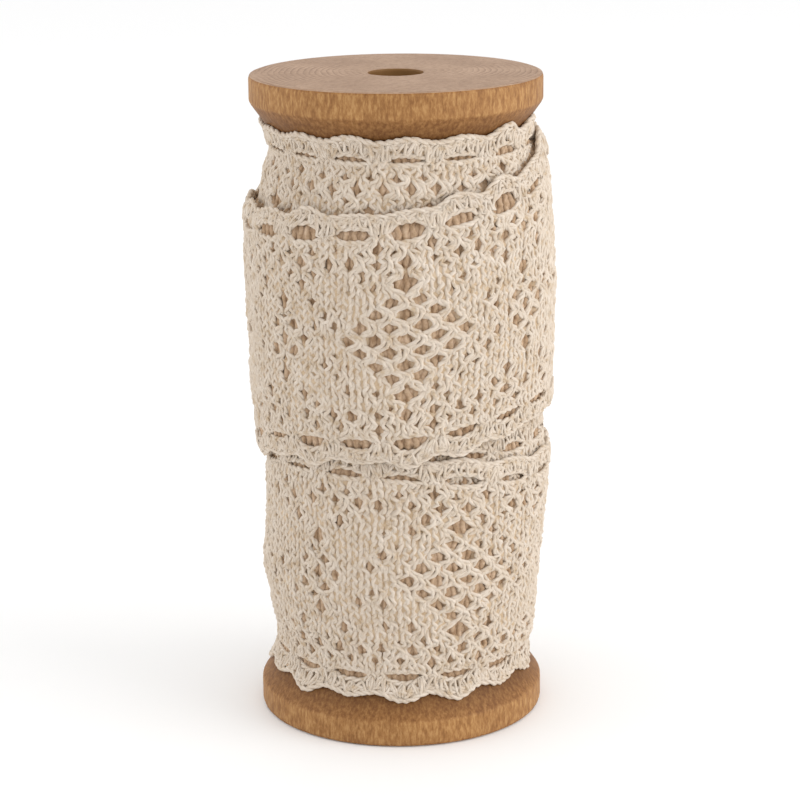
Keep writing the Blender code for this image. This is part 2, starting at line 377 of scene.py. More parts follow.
# Grain of the wood, in metres, and how much it changes along the spool
RING_CENTRE = (0.003, 0.0015)
RING_STEP = 0.00105
RING_STRETCH = 0.05
RING_FORM = {"Distortion": 9.0, "Detail": 3.5, "Detail Scale": 0.25, "Detail Roughness": 0.5}
WAVE_TURN = 2 * math.pi / 20  # scale of a ring texture whose rings are a metre apart
FLECK_STRETCH = 0.3
GRAIN_RELIEF = 0.00012

# Noise: scale, detail, roughness
TONE_NOISE = (620.0, 5.0, 0.65)
FIBRE_NOISE = (3800.0, 3.0, 0.55)
FADE_NOISE = (95.0, 3.0, 0.6)
PORE_NOISE = (1300.0, 4.0, 0.7)
FLECK_NOISE = (1750.0, 5.0, 0.7)
BLOTCH_NOISE = (110.0, 3.0, 0.6)

# Studio, in metres
FLOOR_SIZE = 6.0
FLOOR_LEVEL = -0.0001
FLOOR_TONE = (0.95, 0.95, 0.95, 1.0)
SURROUND_TONE = (1.0, 1.0, 1.0, 1.0)
LIGHT_TARGET = (0.0, 0.0, 0.06)
LIGHT_COLOR = (1.0, 0.985, 0.97)
LIGHTS = (  # name, place, size, power
    ("key", (1.05, -0.4, 0.4), 0.9, 7.2),
    ("fill", (-1.05, -0.1, 0.35), 0.8, 2.2),
)


def smoothstep(value):
    """0 below 0, 1 above 1, and a smooth rise between."""
    value = np.clip(value, 0.0, 1.0)
    return value * value * (3.0 - 2.0 * value)


def uneven(a, b, seed):
    """Slow uneven variation from -1 to 1 over two coordinates."""
    return (0.45 * np.sin(0.9 * a + 1.3 * b + seed) + 0.33 * np.sin(1.9 * a - 1.1 * b + 2.3 * seed)
            + 0.22 * np.sin(-0.7 * a + 2.9 * b + 3.1 * seed))


def texture(along, across, seed, form):
    """Unevenness from -1 to 1, of a form that gives its sizes."""
    length, height, offset = form
    return uneven(along / length, across / height, offset + seed)


def patches(along, across, seed, form):
    """Uneven patches from 0 to 1."""
    contrast, start = form[3:]
    return smoothstep(contrast * texture(along, across, seed, form[:3]) + start)


def alternate(number):
    """1 for even numbers and -1 for odd ones."""
    return np.where(number % 2 == 0, 1.0, -1.0)


def read_form(table, station, bearing):
    """Radius in a table of left and right radii, at a bearing between the two."""
    row = np.clip(np.searchsorted(table[:, 0], station) - 1, 0, len(table) - 2)
    share = smoothstep((station - table[row, 0]) / (table[row + 1, 0] - table[row, 0]))
    left = table[row, 1] + (table[row + 1, 1] - table[row, 1]) * share
    right = table[row, 2] + (table[row + 1, 2] - table[row, 2]) * share
    return (left + right) / 2 + (right - left) / 2 * np.sin(np.radians(bearing))


def swell(bearing, height):
    """Uneven winding: low waves that lean round the roll."""
    turn = np.radians(bearing)
    rise = sum(amount * np.sin(count * turn + 2 * math.pi * twist * height)
               for count, amount, twist in SWELLS)
    return rise * np.abs(np.cos(turn))


def bevel_radius(height):
    """Radius of the wood, without its rims, at a height."""
    from_end = np.minimum(height, SPOOL_HEIGHT - height) - RIM_HEIGHT
    return np.maximum(BARREL_RADIUS, FLANGE_RADIUS - BEVEL_SLOPE * from_end)


def outer_edge(bearing, column):
    """Height of the outer course's lower (0) or upper (1) edge, before its scallops."""
    count = len(OUTER_PATH)
    station = (bearing - PATH_START) / 360.0 % 1.0 * count
    row = np.floor(station).astype(int)
    t = station - row
    before, low, high, after = (OUTER_PATH[(row + step) % count, column] for step in (-1, 0, 1, 2))
    bend = 2 * before - 5 * low + 4 * high - after
    turn = -before + 3 * low - 3 * high + after
    return 0.5 * (2 * low + (high - before) * t + bend * t**2 + turn * t**3)


def outer_surface(bearing, share):
    """Radius of the outer course's face at a share of its width."""
    low, high = outer_edge(bearing, 0), outer_edge(bearing, 1)
    return read_form(OUTER_FORM, share, bearing) + swell(bearing, low + share * (high - low))


def under_surface(bearing, height):
    """Radius of the roll beneath the outer course, drawn in where that course presses."""
    radius = read_form(UNDER_FORM, height, bearing) + swell(bearing, height) / 2
    low, high = outer_edge(bearing, 0), outer_edge(bearing, 1)
    low_rim = outer_surface(bearing, np.zeros_like(bearing)) - PRESSED_DEPTH
    high_rim = outer_surface(bearing, np.ones_like(bearing)) - PRESSED_DEPTH
    below = low_rim + PRESSED_SLOPE * np.maximum(low - height, 0.0)
    above = high_rim + PRESSED_SLOPE * np.maximum(height - high, 0.0)
    return np.minimum(np.where(height > (low + high) / 2, above, below), radius)


def bottom_top(bearing):
    """Height of the bottom course's upper edge, before its scallops."""
    stations = np.arange(len(BOTTOM_TOP_PATH) + 1) * PATH_STEP
    heights = np.append(BOTTOM_TOP_PATH, BOTTOM_TOP_PATH[0])
    return np.interp((bearing - PATH_START) % 360.0, stations, heights)


def place(bearing, height, radius):
    """Points in metres from bearings, heights and radii."""
    turn = np.radians(bearing)
    return np.stack((radius * np.sin(turn), -radius * np.cos(turn), height), axis=-1) * MM


def from_edge(inset, upper):
    """Distance across the ribbon of a place at an inset from its lower or its upper edge."""
    return RIBBON_WIDTH - inset if upper else inset


def nearest_edge(across):
    """Distance of a place across the ribbon from the nearer edge."""
    return np.minimum(across, RIBBON_WIDTH - across)


class Course:
    """One turn of the ribbon: where its columns and slots stand, and the face it lies on.

    Its step is between columns, in degrees, and its pitch between slots. The edges are
    functions of the bearing. The openness is that of its most closed and its most open
    slot. The diamond is how open its diamonds of net are, from 0 to 1.
    """

    def __init__(self, name, start, columns, step, slot_pitch, slot_bearing, motif_bearing,
                 low, high, face, openness, diamond, seed):
        self.name = name
        self.start = start
        self.columns = columns
        self.step = step
        self.slot_pitch = slot_pitch
        self.slot_bearing = slot_bearing
        self.motif_bearing = motif_bearing
        self.low = low
        self.high = high
        self.face = face
        self.diamond = diamond
        self.seed = seed
        self.per_degree = STRAND_PITCH / step
        self.repeat = SLOTS_A_REPEAT * slot_pitch * self.per_degree
        self.first = (start - motif_bearing) / step % 1.0 * STRAND_PITCH
        rng = np.random.default_rng(seed)
        slots = int(360 / slot_pitch) + SPARE_SLOTS
        self.open = rng.uniform(*openness, (2, slots))
        for border in (0, 1):
            for number, value in FRONT_SLOTS.get((name, border), {}).items():
                self.open[border, number % slots] = value
        self.reach = rng.uniform(*CREST_REACH, (2, slots))
        self.depth = rng.normal(0.0, COLUMN_DEPTH, (columns, 1))

    def bearings(self):
        """Bearing of each column of yarn."""
        return self.start + self.step * np.arange(self.columns)

    def stations(self, spacing):
        """Bearings along the whole course, about a spacing apart."""
        first = self.start - self.step / 2
        last = first + self.step * self.columns
        return np.linspace(first, last, round((last - first) / spacing) + 1)

    def along(self, bearing):
        """Distance along the ribbon from the middle of a diamond."""
        return (bearing - self.motif_bearing) * self.per_degree

    def in_repeat(self, along):
        """Distance along the ribbon from the middle of the nearest diamond."""
        return (along + self.repeat / 2) % self.repeat - self.repeat / 2

    def slot_phase(self, bearing):
        """Place between two slots as a share of their pitch, 0 at a slot's middle."""
        return ((bearing - self.slot_bearing) / self.slot_pitch + 0.5) % 1.0 - 0.5

    def at_slot(self, table, bearing, upper):
        """The value that a table gives the slot at a bearing, on the upper or the lower border."""
        number = np.floor((bearing - self.slot_bearing) / self.slot_pitch + 0.5).astype(int)
        row = table[int(upper)]
        return row[number % len(row)]

    def bar(self, bearing):
        """1 in the bars between slots, 0 beside the slots."""
        return smoothstep((np.abs(self.slot_phase(bearing)) - BAR_FROM) / BAR_WIDTH)

    def cord(self, number, bearing, upper):
        """Distance of a border's cord from the ribbon's edge."""
        crest = (1 + np.cos(2 * math.pi * self.slot_phase(bearing))) / 2
        crest = crest * self.at_slot(self.reach, bearing, upper)
        bar = self.bar(bearing)
        closed = (1 - self.at_slot(self.open, bearing, upper)) * (1 - bar)
        if number < EDGE_CORDS:
            rise = (2 * SCALLOP - CREST_STEP * number) * crest
            return EDGE_INSET + SCALLOP + CORD_STEP * number - rise
        if number == NEAR_CORD:
            slot = NEAR_INSET - NEAR_CREST * crest
            return NEAR_BAR_INSET * bar + (1 - bar) * slot + NEAR_CLOSING * closed
        return FAR_BAR_INSET * bar + (1 - bar) * FAR_INSET - FAR_CLOSING * closed

    def height(self, bearing, across):
        """Height of places across the ribbon."""
        low, high = self.low(bearing), self.high(bearing)
        return low + across / RIBBON_WIDTH * (high - low)

    def lay(self, bearing, across, lift):
        """Points in metres of places on the ribbon, raised by lift from the yarns' own depth."""
        height = self.height(bearing, across)
        body = smoothstep(nearest_edge(across) / BORDER - 0.5)
        radius = self.face(bearing, height) - (BORDER_DEPTH + (BODY_DEPTH - BORDER_DEPTH) * body) + lift
        return place(bearing, height, np.maximum(radius, bevel_radius(height) + YARN_CLEARANCE))

    def border_name(self, upper):
        """How the names of one border's pieces start."""
        return f"lace_{self.name}_{'upper' if upper else 'lower'}"


def outer_face(bearing, height):
    """Face of the outer course by height. Its start dives under its own end at the back."""
    low, high = outer_edge(bearing, 0), outer_edge(bearing, 1)
    face = outer_surface(bearing, np.clip((height - low) / (high - low), 0.0, 1.0))
    return face - DIVE * smoothstep((OUTER_START + DIVE_END - bearing) / DIVE_RUN)


def middle_face(bearing, height):
    """Face of the course that shows in the gap between the bottom and the outer course."""
    return under_surface(bearing, height) - MIDDLE_STEP


def level(value):
    """The same height, or distance across the ribbon, all round."""
    return lambda bearing: np.full_like(bearing, value)


OUTER = Course(
    "outer", start=OUTER_START, columns=150, step=2.5, slot_pitch=20.0, slot_bearing=4.0, motif_bearing=3.0,
    low=lambda bearing: outer_edge(bearing, 0), high=lambda bearing: outer_edge(bearing, 1),
    face=outer_face, openness=(0.6, 1.05), diamond=1.0, seed=11)
BOTTOM = Course(
    "bottom", start=-168.0, columns=132, step=360 / 132, slot_pitch=24.0, slot_bearing=25.0,
    motif_bearing=24.0, low=level(BOTTOM_EDGE), high=bottom_top,
    face=under_surface, openness=(0.35, 0.95), diamond=0.84, seed=23)
TOP = Course(
    "top", start=-168.0, columns=132, step=360 / 132, slot_pitch=24.0, slot_bearing=28.0, motif_bearing=60.0,
    low=level(TOP_EDGE - RIBBON_WIDTH), high=level(TOP_EDGE),
    face=under_surface, openness=(0.0, 0.35), diamond=1.0, seed=37)
MIDDLE = Course(
    "middle", start=15.0, columns=70, step=2.7, slot_pitch=22.0, slot_bearing=52.0, motif_bearing=0.0,
    low=level(MIDDLE_TOP - RIBBON_WIDTH), high=level(MIDDLE_TOP),
    face=middle_face, openness=(0.2, 0.7), diamond=1.0, seed=41)


def large_holes(course):
    """The holes of a quarter repeated in all four, each between two of the course's columns."""
    holes = set()
    for x, y, width, height in LARGE_HOLES:
        for right in (1, -1):
            for up in (1, -1):
                along = x * right * course.repeat / 2
                gap = math.floor((along - course.first) / STRAND_PITCH) + 0.5
                holes.add((gap * STRAND_PITCH + course.first, y * up, width, height))
    return sorted(holes)


def hole_push(course, x, y):
    """How far the columns give way to the large holes."""
    push = 0.0
    for middle, hole_y, width, height in large_holes(course):
        aside = x - middle
        near = np.exp(-(aside / HOLE_PUSH_REACH) ** 2) * np.exp(-np.abs((y - hole_y) / height) ** 3)
        push = push + width * np.sign(aside) * near
    return push


def hole_near(course, x, y, margin):
    """1 in the large holes and in a margin round them, 0 elsewhere."""
    inside = 0.0
    for middle, hole_y, width, height in large_holes(course):
        far = np.hypot((x - middle) / (width + HOLE_MARGIN[0] + margin),
                       (y - hole_y) / (height + HOLE_MARGIN[1] + margin))
        inside = np.maximum(inside, smoothstep((HOLE_RIM_AT - far) / HOLE_RIM))
    return inside


def lozenge(x, y, form):
    """1 in a lozenge about a middle, 0 outside it."""
    length, height, rim = form
    return smoothstep((1 - np.abs(x) / length - np.abs(y) / height) / rim)


def net_swing(course, along, across):
    """How open the net is, from 0 to 1, at a place in the repeat. It closes beside a large hole."""
    seed = course.seed
    x = course.in_repeat(along)
    y = across - RIBBON_WIDTH / 2
    to_end = course.repeat / 2 - np.abs(x)
    from_middle = np.abs(y)
    reach = np.abs(x) / DIAMOND_LENGTH + from_middle / DIAMOND_HEIGHT
    diamond = course.diamond * smoothstep((1 - reach) / DIAMOND_RIM)
    ring = RING_OPENNESS * smoothstep(RING_WIDTH - np.abs(reach - RING_AT) / DIAMOND_RIM)
    ring = ring * patches(x, y, seed, RING_PATCHES)
    between = BETWEEN_OPENNESS * lozenge(to_end, y, BETWEEN_FORM)
    corner = CORNER_OPENNESS * lozenge(to_end - CORNER_ALONG, from_middle - CORNER_ACROSS, CORNER_FORM)
    row = ROW_OPENNESS * smoothstep(ROW_FORM[0] - np.abs(from_middle - ROW_ACROSS) / ROW_FORM[1])
    row = row * patches(x, y, seed, ROW_PATCHES)
    stray = STRAY_OPENNESS * patches(along, across, seed, STRAY_PATCHES)
    openness = np.maximum.reduce((diamond, ring, between, corner, row, stray))
    openness = openness * smoothstep((nearest_edge(across) - BORDER) / NET_FADE)
    return openness * (1 - hole_near(course, x, y, HOLE_CLOSED_MARGIN))


def net_wave(course, along, across):
    """Where the net's pairs of columns stand between their crossings: 0 at one, 1 or -1 at a hole."""
    rough = texture(along, across, course.seed, COLUMN_TEXTURE)
    phase = 2 * math.pi * (across - RIBBON_WIDTH / 2 + WAVE_WANDER * rough) / NET_STEP
    return np.tanh(WAVE_STEEPNESS * np.cos(phase)) / math.tanh(WAVE_STEEPNESS)


def drift(course, along, across):
    """How far columns stray without opening: round the diamonds, to the bars, and unevenly."""
    x = course.in_repeat(along)
    y = across - RIBBON_WIDTH / 2
    bow = BOW * (x / BOW_AT) * np.exp(-(x / BOW_LENGTH) ** 2) * np.exp(-(y / BOW_HEIGHT) ** 2)
    slot_phase = course.slot_phase(course.motif_bearing + along / course.per_degree)
    to_bar = (np.sign(slot_phase) * 0.5 - slot_phase) * course.slot_pitch * course.per_degree
    near_border = smoothstep((BORDER + GATHER_MARGIN - nearest_edge(across)) / GATHER_WIDTH)
    gather = GATHER * to_bar * near_border
    return bow + gather + WANDER * texture(along, across, course.seed, DRIFT_TEXTURE)


def column_paths(course, from_across, to_across, samples):
    """Axes of the columns of yarn: bearing, distance across the ribbon, and lift."""
    column = np.arange(course.columns)[:, None]
    share = np.linspace(0.0, 1.0, samples)[None, :]
    across = from_across[:, None] + (to_across - from_across)[:, None] * share
    along = course.along(course.bearings())[:, None]
    swing = net_swing(course, along, across)
    wave = net_wave(course, along, across)
    rough = texture(along, across, course.seed, COLUMN_TEXTURE)
    side = alternate(column // 2)
    own = alternate(column)
    leaves = np.cos(2 * math.pi * across / LEAF + LEAF_WANDER * rough)
    shift = side * NET_SWING * swing * (1 + SWING_WANDER * rough) * wave
    shift += own * (DENSE_SWING * (1 - 0.5 * swing) * leaves + PAIR_CLOSE * swing)
    shift += hole_push(course, course.in_repeat(along), across - RIBBON_WIDTH / 2)
    shift += drift(course, along, across)
    bearing = course.bearings()[:, None] + shift / course.per_degree
    lift = side * CROSS_LIFT * swing * wave + COLUMN_ROUGHNESS * rough
    lift = lift + own * LEAF_LIFT * leaves + course.depth
    return bearing, across, lift


def unit(vectors):
    """Vectors brought to length 1."""
    return vectors / np.linalg.norm(vectors, axis=-1, keepdims=True)


def cross_frame(paths):
    """Two directions across each path at each point: outward from the spool's axis, and aside."""
    along = unit(np.gradient(paths, axis=1))
    aside = unit(np.cross(along, unit(paths * np.array((1.0, 1.0, 0.0)))))
    return np.cross(aside, along), aside


def two_ply(paths, twist):
    """The two plies of yarns along paths."""
    outward, aside = cross_frame(paths)
    offset = YARN_FLATNESS * np.cos(twist)[..., None] * outward + np.sin(twist)[..., None] * aside
    offset = offset * PLY_REACH * MM
    return np.concatenate((paths + offset, paths - offset))


def tube_mesh(name, paths, radius):
    """Closed tubes along paths, an array of tubes by points by 3 in metres."""
    tubes, points = paths.shape[:2]
    outward, aside = cross_frame(paths)
    corner = (2 * math.pi * np.arange(TUBE_SIDES) / TUBE_SIDES)[:, None]
    ring = np.cos(corner) * outward[:, :, None, :] + np.sin(corner) * aside[:, :, None, :]
    tube, point = np.arange(tubes)[:, None], np.arange(points)[None, :]
    slub = uneven(tube * SLUB_STEPS[0], point * SLUB_STEPS[1], SLUB_SEED)
    reach = radius * MM * (1 + SLUB * slub[:, :, None, None])
    return loft_mesh(name, paths[:, :, None, :] + reach * ring)


def loft_mesh(name, rings):
    """Closed bodies through rings of corners, an array of bodies by rings by corners by 3."""
    number = np.arange(rings[..., 0].size).reshape(rings.shape[:3])
    after = np.roll(number, -1, axis=2)
    quads = np.stack((number[:, :-1], after[:, :-1], after[:, 1:], number[:, 1:]), axis=-1).reshape(-1, 4)
    caps = np.concatenate((number[:, 0, ::-1], number[:, -1]))
    return mesh_object(name, rings.reshape(-1, 3), quads, caps)


def mesh_object(name, corners, quads, caps):
    """A smooth mesh object from corners, quads and many-sided caps."""
    mesh = bpy.data.meshes.new(name)
    mesh.vertices.add(len(corners))
    mesh.vertices.foreach_set("co", corners.astype(np.float32).ravel())
    mesh.loops.add(quads.size + caps.size)
    mesh.loops.foreach_set("vertex_index", np.concatenate((quads.ravel(), caps.ravel())).astype(np.int32))
    mesh.polygons.add(len(quads) + len(caps))
    quad_starts = np.arange(len(quads)) * 4
    cap_starts = quads.size + np.arange(len(caps)) * caps.shape[1]
    mesh.polygons.foreach_set("loop_start", np.concatenate((quad_starts, cap_starts)).astype(np.int32))
    mesh.update(calc_edges=True)
    mesh.validate()
    mesh.shade_smooth()
    piece = bpy.data.objects.new(name, mesh)
    bpy.context.scene.collection.objects.link(piece)
    return piece


def yarn_twist(length, order, seed):
    """Twist of each yarn along its length, to the left and to the right by turns."""
    order = order[:, None]
    way = alternate(order)
    turn = math.pi * length / LEAF + 0.35 * seed + math.pi / 4 * way
    turn = turn + TWIST_WANDER * np.sin(length * 0.9 + 1.7 * order)
    return way * (turn + TWIST_WANDER * np.sin(2.9 * order))


def wind_course(course, from_across, to_across, samples, pieces):
    """The columns of yarn of one course, in pieces by bearing."""
    bearing, across, lift = column_paths(course, from_across, to_across, samples)
    paths = course.lay(bearing, across, lift)
    order = np.arange(course.columns)
    twist = yarn_twist(across, order, course.seed)
    wound = []
    for part, chosen in enumerate(np.array_split(order, pieces)):
        plies = two_ply(paths[chosen], twist[chosen])
        wound.append(tube_mesh(f"lace_{course.name}_{part + 1}", plies, PLY_RADIUS))
    return wound


def border_cords(course, upper):
    """The twisted cords along one border of a course."""
    order = np.arange(CORD_COUNT)
    stations = course.stations(CORD_SAMPLE)
    bearing, number = np.meshgrid(stations, order)
    inset = np.stack([course.cord(cord, stations, upper) for cord in order])
    inset = inset + CORD_WANDER * texture(bearing, number, course.seed, CORD_INSET_TEXTURE)
    sunk = BAR_SINK * (number >= NEAR_CORD) * course.bar(bearing) + SECOND_SINK * (number == SECOND_CORD)
    lift = CORD_ROUGHNESS * texture(bearing, number, course.seed, CORD_LIFT_TEXTURE) - sunk
    paths = course.lay(bearing, from_edge(inset, upper), lift)
    twist = yarn_twist(bearing / course.step * STRAND_PITCH, order, course.seed)
    return tube_mesh(f"{course.border_name(upper)}_border", two_ply(paths, twist), PLY_RADIUS)


def edge_stitches(course, upper):
    """The yarn sewn over the cords of one border, to and fro between the edge and the slots."""
    pitch = STITCH_PITCH / course.per_degree
    bearing = course.stations(pitch / STITCH_SAMPLES)
    rough = uneven(bearing / 5.0, 0.3 * bearing, 3.0 + course.seed)
    phase = 2 * math.pi * bearing / pitch + STITCH_WANDER * rough
    swing = np.tanh(STITCH_STEEPNESS * np.cos(phase))
    edge = course.cord(0, bearing, upper) + STITCH_INSET
    slots = course.cord(NEAR_CORD, bearing, upper) + STITCH_BAR_INSET * course.bar(bearing)
    inset = edge + (slots - edge) * (0.5 + 0.5 * swing * (1 - STITCH_SHORTER * rough))
    lean = STITCH_LEAN * swing * np.sign(rough)
    leaning = bearing + lean / course.per_degree
    lift = STITCH_LIFT + STITCH_ROUGHNESS * rough
    paths = course.lay(leaning, from_edge(inset, upper), lift)[None]
    twist = yarn_twist(bearing[None, :] * STITCH_TWIST * course.per_degree, np.array((0,)), course.seed)
    return tube_mesh(f"{course.border_name(upper)}_stitches", two_ply(paths, twist), STITCH_RADIUS)


def ground(name, course, low, high, rows, front_depth, back_depth):
    """The felted inside of a course between two distances across it, a sheet with two faces."""
    bearing = course.stations(GROUND_STEP)[:, None]
    start, end = low(bearing), high(bearing)
    across = start + (end - start) * np.linspace(0.0, 1.0, rows)[None, :]
    along = course.along(bearing)
    bearing = bearing + drift(course, along, across) / course.per_degree
    height = course.height(bearing, across)
    face = course.face(bearing, height)
    wood = bevel_radius(height)
    front = place(bearing, height, np.maximum(face - front_depth(along, across), wood + LACE_CLEARANCE))
    back = place(bearing, height, np.maximum(face - back_depth, wood + BACK_CLEARANCE))
    return loft_mesh(name, np.concatenate((front, back[:, ::-BACK_ROWS]), axis=1)[None])


def pit_depth(course, along, across):
    """How deep a course's felted inside lies: close under the yarn, with a pit in each hole."""
    swing = net_swing(course, along, across)
    columns = (along - course.along(course.start)) / STRAND_PITCH
    between = np.cos(math.pi / 2 * (columns - PAIR_GAP))
    net_hole = smoothstep((-swing * between * net_wave(course, along, across) - PIT_FROM) / PIT_RIM)
    hole = np.maximum(net_hole, hole_near(course, course.in_repeat(along), across - RIBBON_WIDTH / 2, 0.0))
    rough = texture(along, across, course.seed, GROUND_TEXTURE)
    closed = GROUND_DEPTH + NET_DEPTH * swing + GROUND_ROUGHNESS * rough
    return closed + (HOLE_DEPTH - closed) * hole


def body_ground(course, low, rows):
    """The felted inside of a course from a distance across it to its upper row of slots."""
    return ground(f"lace_{course.name}_ground", course, low,
                  lambda bearing: from_edge(course.cord(FAR_CORD, bearing, True), True) - GROUND_GAP, rows,
                  lambda along, across: pit_depth(course, along, across), HOLE_DEPTH + GROUND_THICKNESS)


def border_ground(course, upper):
    """The felted inside of the band between a course's edge and its slots."""
    depth = BORDER_DEPTH + BAND_SINK
    return ground(f"{course.border_name(upper)}_band", course,
                  lambda bearing: from_edge(course.cord(0, bearing, upper), upper),
                  lambda bearing: from_edge(course.cord(NEAR_CORD, bearing, upper), upper), BAND_ROWS,
                  lambda along, across: depth, depth + GROUND_THICKNESS)


def above_slots(course):
    """Where a course's felted inside starts, past its lower row of slots."""
    return lambda bearing: course.cord(FAR_CORD, bearing, False) + GROUND_GAP


def column_ends(course, upper):
    """Distance across the ribbon where each column ends, under a slot's cord or in a bar."""
    bearing = course.bearings()
    phase = np.abs(course.slot_phase(bearing))
    inset = course.cord(FAR_CORD, bearing, upper) + COLUMN_TUCK
    for start, end in BAR_COLUMNS:
        inset = np.where(phase > start, end, inset)
    return from_edge(inset, upper)


def under_outer(bearing, overlap):
    """Distance across the top course of a place hidden by an overlap under the outer course."""
    return outer_edge(bearing, 1) - overlap - TOP_EDGE + RIBBON_WIDTH


def wind_ribbon():
    """Every visible course, from the outer one in: the pieces of yarn, and the felted insides."""
    yarns = wind_course(OUTER, column_ends(OUTER, False), column_ends(OUTER, True), BODY_SAMPLES, 2)
    bearing = BOTTOM.bearings()
    covered = (outer_edge(bearing, 0) + OVERLAP - BOTTOM_EDGE) / (bottom_top(bearing) - BOTTOM_EDGE)
    ends = np.minimum(column_ends(BOTTOM, True), covered * RIBBON_WIDTH)
    yarns += wind_course(BOTTOM, column_ends(BOTTOM, False), ends, BODY_SAMPLES, 2)
    start = under_outer(TOP.bearings(), TOP_YARN_OVERLAP)
    yarns += wind_course(TOP, start, column_ends(TOP, True), TOP_SAMPLES, 1)
    start = np.full(MIDDLE.columns, MIDDLE_FROM)
    yarns += wind_course(MIDDLE, start, column_ends(MIDDLE, True), MIDDLE_SAMPLES, 1)
    grounds = []
    borders = ((OUTER, False), (OUTER, True), (BOTTOM, False), (BOTTOM, True), (TOP, True), (MIDDLE, True))
    for course, upper in borders:
        yarns += [border_cords(course, upper), edge_stitches(course, upper)]
        grounds.append(border_ground(course, upper))
    grounds.append(body_ground(OUTER, above_slots(OUTER), BODY_ROWS))
    grounds.append(body_ground(BOTTOM, above_slots(BOTTOM), BODY_ROWS))
    grounds.append(body_ground(TOP, lambda bearing: under_outer(bearing, OVERLAP), TOP_ROWS))
    grounds.append(body_ground(MIDDLE, level(MIDDLE_GROUND_FROM), MIDDLE_ROWS))
    return yarns, grounds


def inner_radius(bearing, height):
    """Radius of the inner course's yarns, close beneath whatever lies over it."""
    low, high = outer_edge(bearing, 0), outer_edge(bearing, 1)
    under = under_surface(bearing, height) - INNER_DEPTH
    in_gap = smoothstep((low + GAP_ABOVE - height) / GAP_ABOVE)
    in_gap = in_gap * smoothstep((height - bottom_top(bearing) + GAP_BELOW) / GAP_LOW_RUN)
    shown = smoothstep((GAP_HALF - np.abs(bearing - GAP_BEARING)) / GAP_END_RUN)
    under = under - MIDDLE_STEP * in_gap * shown
    share = np.clip((height - low) / (high - low), 0.0, 1.0)
    beneath = outer_surface(bearing, share) - INNER_DEPTH
    covered = smoothstep((height - low) / COVER_RUN) * smoothstep((high - height) / COVER_RUN)
    radius = under + (beneath - under) * covered
    return np.maximum(radius, bevel_radius(height) + LACE_CLEARANCE)


def inner_course():
    """The course beneath, which shows through the holes."""
    height, order = np.meshgrid(np.linspace(INNER_LOW, INNER_HIGH, INNER_SAMPLES), np.arange(INNER_COLUMNS))
    rough = uneven(order * INNER_TEXTURE_STEP, height / INNER_TEXTURE_HEIGHT, INNER_SEED)
    stitch = alternate(order + np.arange(INNER_SAMPLES))
    bearing = -180.0 + 360.0 / INNER_COLUMNS * (order + INNER_WANDER * rough + INNER_ZIGZAG * stitch)
    radius = inner_radius(bearing, height) + INNER_ROUGHNESS * rough + INNER_ROUGHNESS * stitch
    return tube_mesh("lace_inner", place(bearing, height, radius), INNER_YARN_RADIUS)


def core_shell():
    """A closed shell of wound lace under the inner course."""
    bearing, height = np.meshgrid(np.arange(0.0, 360.0, CORE_STEP),
                                  np.linspace(INNER_LOW + CORE_LOW, INNER_HIGH - CORE_HIGH, CORE_ROWS))
    wood = bevel_radius(height)
    radius = np.maximum(inner_radius(bearing, height) + CORE_RISE, wood + CORE_CLEARANCE)
    outside = place(bearing, height, radius)
    inside = place(bearing, height, wood + BACK_CLEARANCE)
    ring = np.concatenate((outside, inside[::-1]))
    number = np.arange(ring[..., 0].size).reshape(ring.shape[:2])
    after = np.roll(number, -1, axis=1)
    above = np.roll(number, -1, axis=0)
    both = np.roll(after, -1, axis=0)
    quads = np.stack((number, after, both, above), axis=-1).reshape(-1, 4)
    no_caps = np.zeros((0, 4), int)
    return mesh_object("lace_core", ring.reshape(-1, 3), quads, no_caps)


